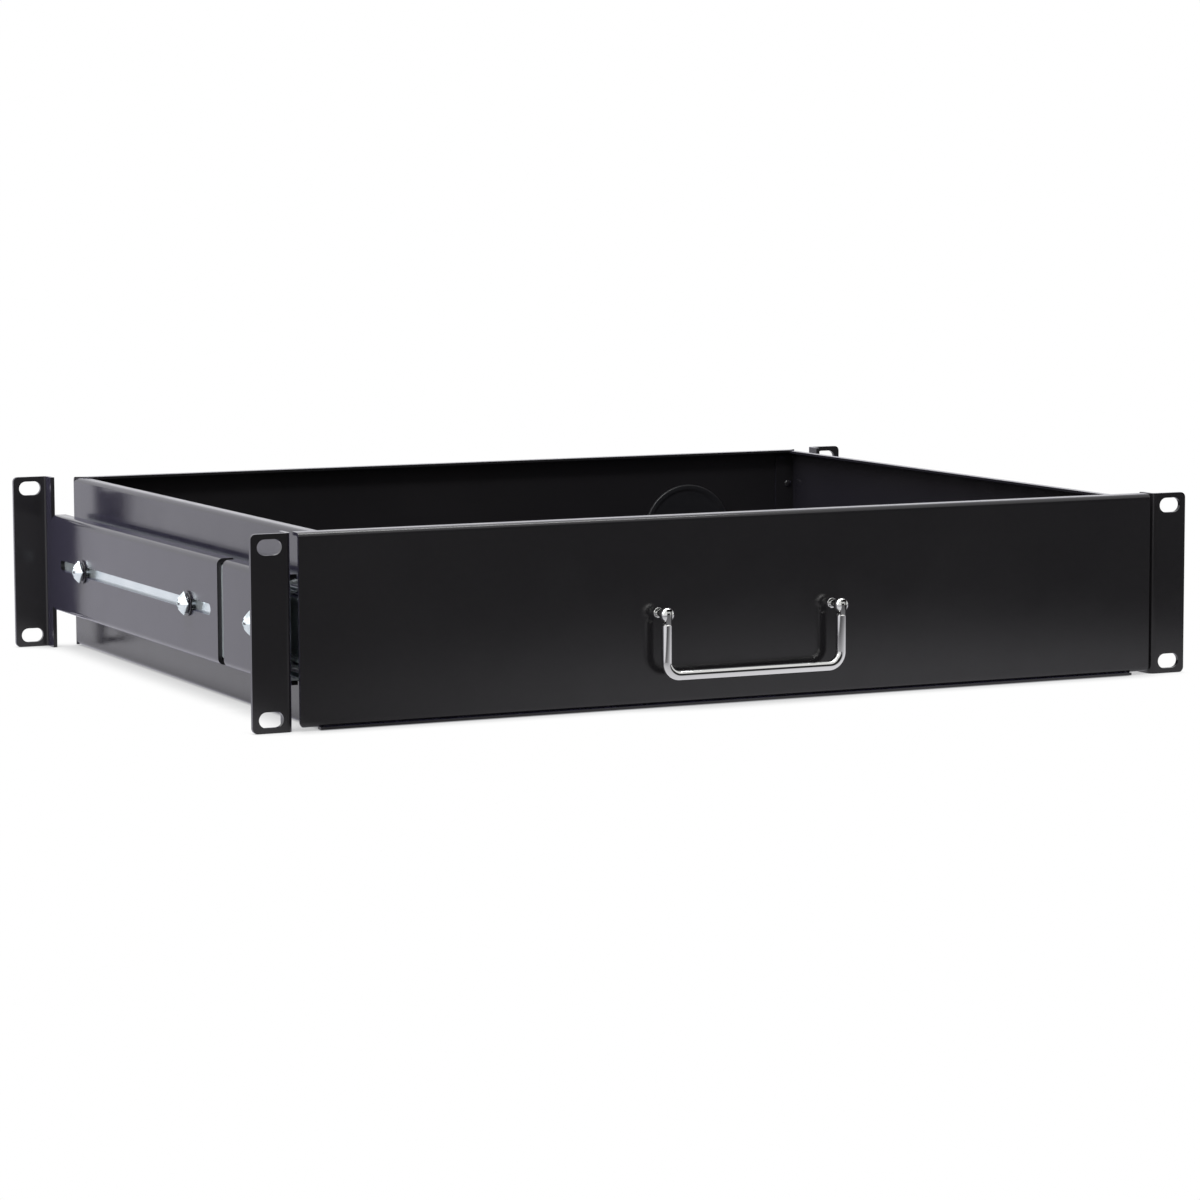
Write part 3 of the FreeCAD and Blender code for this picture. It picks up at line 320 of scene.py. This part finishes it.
def tint(tree, shader, value, dark, light):
    """A colour that wanders between two tones."""
    mix = tree.nodes.new("ShaderNodeMix")
    mix.data_type = "RGBA"
    mix.inputs["A"].default_value = (*dark, 1.0)
    mix.inputs["B"].default_value = (*light, 1.0)
    tree.links.new(spread(tree, value, 0.0, 1.0), mix.inputs["Factor"])
    tree.links.new(mix.outputs["Result"], shader.inputs["Base Color"])


def haze(tree, shader, value, low, high):
    """A roughness that wanders between two values."""
    tree.links.new(spread(tree, value, low, high), shader.inputs["Roughness"])


def emboss(tree, shader, value, height, strength):
    """A fine grain in the shading, its height in metres."""
    bump = tree.nodes.new("ShaderNodeBump")
    bump.inputs["Strength"].default_value = strength
    bump.inputs["Distance"].default_value = height
    tree.links.new(value, bump.inputs["Height"])
    tree.links.new(bump.outputs["Normal"], shader.inputs["Normal"])


def black_paint():
    """Semi-gloss black powder coat: a fine even grain and slow changes in sheen."""
    material, tree, shader = surface("black_powder_coat", (0.0145, 0.0137, 0.0148),
                                     metallic=0.0, roughness=0.15, specular=0.43)
    shader.inputs["Sheen Weight"].default_value = 0.15
    shader.inputs["Sheen Roughness"].default_value = 0.35
    shader.inputs["Sheen Tint"].default_value = (0.5, 0.45, 1.0, 1.0)
    tint(tree, shader, noise(tree, scale=14.0),
         dark=(0.0133, 0.0126, 0.0136), light=(0.0157, 0.0149, 0.016))
    haze(tree, shader, noise(tree, scale=60.0), low=0.13, high=0.19)
    emboss(tree, shader, noise(tree, scale=1700.0, detail=3.0), height=0.03 * MM, strength=0.22)
    return material


def zinc():
    """Bright zinc plate on rolled steel: faint drawn lines along the slide and a cool cast."""
    material, tree, shader = surface("zinc_plate", (0.7, 0.76, 0.79),
                                     metallic=0.65, roughness=0.15)
    tint(tree, shader, noise(tree, scale=35.0), dark=(0.64, 0.71, 0.75), light=(0.74, 0.8, 0.83))
    haze(tree, shader, noise(tree, scale=220.0, stretch=(1.0, 0.06, 1.0)), low=0.11, high=0.2)
    lines = noise(tree, scale=1400.0, stretch=(1.0, 0.03, 1.0))
    emboss(tree, shader, lines, height=0.01 * MM, strength=0.2)
    return material


def chrome():
    """Polished chrome plate with the haze that handling leaves."""
    material, tree, shader = surface("polished_chrome", (0.66, 0.66, 0.65),
                                     metallic=1.0, roughness=0.05)
    haze(tree, shader, noise(tree, scale=90.0, detail=4.0), low=0.03, high=0.08)
    return material


def rubber():
    """Dull moulded rubber of the slides' closing bumpers."""
    material, tree, shader = surface("black_rubber", (0.02, 0.02, 0.02),
                                     metallic=0.0, roughness=0.75)
    haze(tree, shader, noise(tree, scale=300.0), low=0.65, high=0.85)
    emboss(tree, shader, noise(tree, scale=2500.0), height=0.03 * MM, strength=0.4)
    return material


def plug_plastic():
    """Fine satin moulding of the cable plugs."""
    material, tree, shader = surface("plug_moulding", (0.012, 0.012, 0.014),
                                     metallic=0.0, roughness=0.33)
    tint(tree, shader, noise(tree, scale=40.0),
         dark=(0.0105, 0.0105, 0.0125), light=(0.0135, 0.0135, 0.0155))
    haze(tree, shader, noise(tree, scale=400.0), low=0.28, high=0.4)
    emboss(tree, shader, noise(tree, scale=3000.0), height=0.02 * MM, strength=0.25)
    return material


LOOKS = {
    "black_paint": black_paint(),
    "zinc_steel": zinc(),
    "handle_chrome": chrome(),
    "ball_steel": chrome(),
    "bumper_rubber": rubber(),
    "plug_plastic": plug_plastic(),
}
SLOT_OF = {entry["node"]: entry["material_slot"] for entry in frame["record"]["subparts"]}


def dress_frame():
    """Every CAD node gets its slot's material."""
    for name, node in frame["nodes"].items():
        node.data.materials.clear()
        node.data.materials.append(LOOKS[SLOT_OF[name]])


dress_frame()


# ---------------------------------------------------------------- mesh helpers

def piece(name, bm, slot, body, smooth_to=35.0):
    """Turns a bmesh in the frame's place into a piece that rides a body."""
    bmesh.ops.recalc_face_normals(bm, faces=bm.faces)
    mesh = bpy.data.meshes.new(name)
    bm.to_mesh(mesh)
    bm.free()
    mesh.shade_smooth()
    mesh.set_sharp_from_angle(angle=math.radians(smooth_to))
    mesh.materials.append(LOOKS[slot])
    made = bpy.data.objects.new(name, mesh)
    bpy.context.scene.collection.objects.link(made)
    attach(made, body)
    return made


def rounded(profile, radii, steps=4):
    """Rounds the corners of an (axial, radius) profile; a radius of 0 keeps a corner sharp."""
    points = []
    for index, (at, radius) in enumerate(zip(profile, radii)):
        if radius == 0 or index in (0, len(profile) - 1):
            points.append(at)
            continue
        corner = Vector(at)
        start = corner + (Vector(profile[index - 1]) - corner).normalized() * radius
        end = corner + (Vector(profile[index + 1]) - corner).normalized() * radius
        for step in range(steps + 1):
            t = step / steps
            points.append(tuple(start * (1 - t) ** 2 + corner * 2 * t * (1 - t) + end * t ** 2))
    return points


def ring(bm, along, radii):
    """Vertices in a ring about +X, one for each radius; a single radius is a tip on the axis."""
    if len(radii) == 1:
        return [bm.verts.new((along, 0.0, 0.0))]
    angles = [2 * math.pi * side / len(radii) for side in range(len(radii))]
    return [bm.verts.new((along, radius * math.cos(angle), radius * math.sin(angle)))
            for angle, radius in zip(angles, radii)]


def skin(bm, rings):
    """Faces from each ring of vertices to the next, where a ring may be a tip."""
    sides = max(len(each) for each in rings)
    for one, two in zip(rings, rings[1:]):
        for side in range(sides):
            corners = [each[(side + turn) % len(each)]
                       for each, turn in ((one, 0), (one, 1), (two, 1), (two, 0))]
            distinct = list(dict.fromkeys(corners))
            if len(distinct) > 2:
                bm.faces.new(distinct)


def lathe(profile, sides=48):
    """A solid of revolution about +X; points on the axis close it."""
    on_axis = 1e-7
    bm = bmesh.new()
    rings = [ring(bm, along, [radius] * (1 if radius < on_axis else sides))
             for along, radius in profile]
    closed = len(rings[0]) > 1 and len(rings[-1]) > 1
    skin(bm, [*rings, rings[0]] if closed else rings)
    return bm


def moved(bm, matrix):
    """The same bmesh, moved by a matrix."""
    bmesh.ops.transform(bm, matrix=matrix, verts=bm.verts)
    return bm


def facing(side):
    """Turns a thing made along +X to the right for side +1, to the left for -1."""
    return Matrix.Identity(4) if side > 0 else Matrix.Rotation(math.pi, 4, "Z")


def carved(bm, cutter):
    """The first bmesh less the second, as a new bmesh."""
    objects = []
    for part in (bm, cutter):
        bmesh.ops.recalc_face_normals(part, faces=part.faces)
        mesh = bpy.data.meshes.new("carving")
        part.to_mesh(mesh)
        part.free()
        made = bpy.data.objects.new("carving", mesh)
        bpy.context.scene.collection.objects.link(made)
        objects.append(made)
    less = objects[0].modifiers.new("less", "BOOLEAN")
    less.operation = "DIFFERENCE"
    less.solver = "EXACT"
    less.object = objects[1]
    result = bpy.data.meshes.new_from_object(
        objects[0].evaluated_get(bpy.context.evaluated_depsgraph_get()))
    out = bmesh.new()
    out.from_mesh(result)
    for made in objects:
        mesh = made.data
        bpy.data.objects.remove(made)
        bpy.data.meshes.remove(mesh)
    bpy.data.meshes.remove(result)
    return out


# ---------------------------------------------------------------- bracket screws

# Made along +X from the bracket's outer face: plain washer, spring washer, head
SCREW_HEAD_R = 5.6 * MM
HEAD_TALL = 4.2 * MM
STACK_TALL = 5.75 * MM
UNDER_HEAD = STACK_TALL - HEAD_TALL
SHANK_R = 2.5 * MM
SHANK_END = -2.7 * MM
BORE_R = SHANK_R + 0.1 * MM
WASHER_R = 5.9 * MM
WASHER_TALL = 0.8 * MM
LOCK_R = 4.6 * MM
LOCK_TALL = 0.7 * MM
PLATE_OUT = FRONT_SCREWS[1].x - STACK_TALL


def cross_cutter(top, deep, arm, half):
    """A tapered cross from above a face at top down to a depth: arm length, half arm width."""
    above, flare, taper = 0.4 * MM, 1.1, 0.5
    bm = bmesh.new()
    levels = []
    for at, share in ((top + above, flare), (top - deep, taper)):
        reach, wide = arm * share, half * share
        quarter = [(wide, wide), (wide, reach), (-wide, reach)]
        levels.append([bm.verts.new((at, y * c - z * s, y * s + z * c))
                       for c, s in ((1, 0), (0, 1), (-1, 0), (0, -1)) for y, z in quarter])
    for level in levels:
        bm.faces.new(level)
    skin(bm, levels)
    return bm


def screw_head():
    """A head with four points and hollow flanks between them, a cross recess, some shank."""
    sides, levels = 64, 9
    hollow, crown = 1.35, 1.9           # powers: how hollow the flanks, how full the crown
    top = UNDER_HEAD + HEAD_TALL
    rim = UNDER_HEAD + HEAD_TALL * 0.16
    chamfer, chamfer_share = 0.15 * MM, 0.97
    angles = [2 * math.pi * side / sides for side in range(sides)]
    squares = [abs(math.cos(angle)) + abs(math.sin(angle)) for angle in angles]
    bm = bmesh.new()

    def pointed(at, share):
        return ring(bm, at, [SCREW_HEAD_R * share / square ** hollow for square in squares])

    rings = [ring(bm, top, [0.0])]
    for level in range(1, levels + 1):
        share = level / levels
        rings.append(pointed(rim + (top - rim) * (1 - share ** crown), share))
    rings += [pointed(UNDER_HEAD + chamfer, 1.0), pointed(UNDER_HEAD, chamfer_share)]
    rings += [ring(bm, at, [SHANK_R] * sides) for at in (UNDER_HEAD, SHANK_END)]
    rings.append(ring(bm, SHANK_END, [0.0]))
    skin(bm, rings)
    return carved(bm, cross_cutter(top, deep=2.2 * MM, arm=2.7 * MM, half=0.7 * MM))


def drive_shadow():
    """A dark lining low in the cross recess, in place of the shade that is too small to render."""
    return cross_cutter(UNDER_HEAD + HEAD_TALL - 1.5 * MM, deep=0.6 * MM, arm=2.1 * MM,
                        half=0.66 * MM)


def spring_washer():
    """A split ring whose two ends stand a little out of line."""
    steps, gap = 44, math.radians(7.0)
    base = WASHER_TALL + 0.02 * MM
    thick, rise = LOCK_TALL * 0.86, LOCK_TALL * 0.1
    bm = bmesh.new()
    sections = []
    for step in range(steps + 1):
        angle = gap + (2 * math.pi - 2 * gap) * step / steps
        low = base + rise * step / steps
        high = low + thick
        section = ((low, BORE_R), (low, LOCK_R), (high, LOCK_R), (high, BORE_R))
        sections.append([bm.verts.new((x, r * math.cos(angle), r * math.sin(angle)))
                         for x, r in section])
    skin(bm, sections)
    bm.faces.new(sections[0])
    bm.faces.new(sections[-1])
    return bm


def plain_washer():
    """A flat ring with a rounded rim, just off the paint."""
    edge, under = 0.12 * MM, 0.05 * MM
    profile = [(under, BORE_R), (under, WASHER_R), (WASHER_TALL, WASHER_R), (WASHER_TALL, BORE_R)]
    around = [profile[-1], *profile, profile[0]]
    points = rounded(around, [0, 0, edge, edge, edge, 0])[1:-1]
    return lathe(points, sides=56)


def bracket_screws():
    """Head, spring washer and plain washer at each bracket screw, in place of the plain solids."""
    rows = {"front": [FRONT_SCREWS[0].y + WASHER_R],
            "rear": [REAR_SCREWS[0].y + WASHER_R, REAR_SCREWS[1].y - WASHER_R]}
    parts = (("screw", screw_head, "zinc_steel"), ("drive_shadow", drive_shadow, "black_paint"),
             ("spring_washer", spring_washer, "black_paint"),
             ("washer", plain_washer, "black_paint"))
    for row, places in rows.items():
        for side, word in SIDES:
            for index, y in enumerate(places, start=1):
                spot = Matrix.Translation((side * PLATE_OUT, y, 0.0)) @ facing(side)
                for noun, make, slot in parts:
                    name = f"{row}_{noun}_{word}_{index}"
                    piece(name, moved(make(), spot), slot, "rails")
        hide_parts(f"{row}_bracket_screws")


bracket_screws()


# ---------------------------------------------------------------- drawer details

def cable_plugs():
    """Snap-in caps: a rounded rim that stands off the wall, a dished face and a skirt behind."""
    flange_r = PLUGS[1].z
    out = (PLUGS[1].x + PLUGS[0].x) / 2
    centre = PLUGS[1].x - flange_r
    face, end = PLUGS[0].y, PLUGS[1].y
    wall, tip = WALL[1].y - DRAWER_SHEET - face, end - face
    dish, dish_edge, rim_edge = 0.5 * MM, 3.4 * MM, 2.6 * MM
    skirt_out, skirt_in, inside = flange_r - 2.4 * MM, flange_r - 3.6 * MM, 1.7 * MM
    profile, radii = zip(
        ((dish, 0.0), 0), ((dish, flange_r - dish_edge), 0.6 * MM),
        ((0.0, flange_r - rim_edge), 0.6 * MM), ((0.0, flange_r), 0.7 * MM),
        ((wall, flange_r), 0), ((wall, skirt_out), 0),
        ((tip, skirt_out), 0.2 * MM), ((tip, skirt_in), 0.2 * MM),
        ((inside, skirt_in), 0.4 * MM), ((inside, 0.0), 0))
    for side, word in SIDES:
        bm = lathe(rounded(profile, radii), sides=96)
        turn = Matrix.Translation((out + side * centre, face, 0.0)) @ ALONG_Y
        made = piece(f"cable_plug_{word}", moved(bm, turn), "plug_plastic", "drawer")
        if side > 0:
            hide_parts("cable_plugs")


def handle_posts():
    """Posts with a true ball head, its fork slot open in front and below."""
    head_r, neck_r, foot_r, foot_tall = 3.6 * MM, 1.6 * MM, 2.4 * MM, 0.8 * MM
    stud_r, stud_edge, foot_edge = 2.0 * MM, 0.3 * MM, 0.35 * MM
    slot, fork_deep, roof = 2.8 * MM, 2.9 * MM, 1.0 * MM
    pivot, end = POSTS[0].y + head_r, POSTS[1].y
    face = PANEL[0].y
    steps = 20
    start = math.acos(neck_r / head_r)
    ball = [(pivot + head_r * math.sin(t), head_r * math.cos(t))
            for t in (start - (start + math.pi / 2) * step / steps for step in range(steps + 1))]
    stem = [(end, 0.0), (end, stud_r), (face, stud_r), (face, foot_r),
            (face - foot_tall, foot_r), (face - foot_tall, neck_r)]
    profile = rounded(stem, [0, stud_edge, 0, 0, foot_edge, 0])
    profile += [*ball[:-1], (pivot - head_r, 0.0)]
    for side, word in SIDES:
        made = lathe(profile, sides=64)
        fork = bmesh.new()
        bmesh.ops.create_cube(fork, size=1.0)
        size = Vector((pivot + fork_deep - (POSTS[0].y - head_r), slot, 3 * head_r))
        spot = Vector((pivot + fork_deep - size.x / 2, 0.0, head_r - roof - size.z / 2))
        moved(fork, Matrix.Translation(spot) @ Matrix.Diagonal((*size, 1.0)))
        turn = Matrix.Translation((side * (POSTS[1].x - head_r), 0.0, 0.0)) @ ALONG_Y
        bm = moved(carved(made, fork), turn)
        post = piece(f"handle_post_{word}", bm, "handle_chrome", "drawer", smooth_to=40.0)
        if side > 0:
            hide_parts("handle_posts")


def dome(radius, tall, sides=32, steps=6):
    """A low rivet head that sits on x = 0 and rises along +X."""
    profile = [(tall * math.cos(t), radius * math.sin(t))
               for t in (math.pi / 2 * step / steps for step in range(steps + 1))]
    return lathe([*profile, (0.0, 0.0)], sides=sides)


def rivets():
    """Rivets at the rear corners and along the slides."""
    head_r, head_tall = 3.3 * MM, 1.1 * MM
    corner_r = head_r * 0.6
    inward, rise = 4.6 * MM, 24.7 * MM
    first, pitch = 37.0 * MM, 128.0 * MM
    flange_face = TRAY[1].y - DRAWER_SHEET
    side_in = TRAY[1].x - DRAWER_SHEET
    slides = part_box("inner_member_right")
    for side, word in SIDES:
        x = side * (TRAY[1].x - inward)
        for z, level in ((rise, "upper"), (-rise, "lower")):
            front = Matrix.Translation((x, flange_face, z)) @ Matrix.Rotation(-math.pi / 2, 4, "Z")
            back = Matrix.Translation((x, WALL[1].y, z)) @ ALONG_Y
            for where, spot in (("front", front), ("rear", back)):
                corner = moved(dome(corner_r, head_tall), spot)
                piece(f"corner_rivet_{level}_{word}_{where}", corner, "black_paint", "drawer")
        for index in range(3):
            y = slides[0].y + first + index * pitch
            spot = Matrix.Translation((side * side_in, y, 0.0)) @ facing(-side)
            bm = moved(dome(head_r, head_tall), spot)
            piece(f"slide_rivet_{word}_{index + 1}", bm, "black_paint", "drawer")


cable_plugs()
rivets()
handle_posts()


# ---------------------------------------------------------------- slide balls

def slide_balls():
    """True balls in place of the faceted ones, whose corners lie on the true ball."""
    for row in ("outer", "inner"):
        for _, word in SIDES:
            node = f"{row}_balls_{word}"
            low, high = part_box(node)
            half = (high.x - low.x) / 2
            radius = half * math.sqrt(1 + 2 * math.tan(math.pi / 8) ** 2)
            made = []
            for up in (low.z + half, high.z - half):
                for share in (0.0, 0.5, 1.0):
                    bm = bmesh.new()
                    bmesh.ops.create_uvsphere(bm, u_segments=24, v_segments=16, radius=radius)
                    along = low.y + half + (high.y - low.y - 2 * half) * share
                    spot = Matrix.Translation(((low.x + high.x) / 2, along, up))
                    made.append(piece(f"{node}_{len(made) + 1}", moved(bm, spot), "ball_steel",
                                      f"{row}_row_{word}", smooth_to=180.0))
            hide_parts(node)


slide_balls()
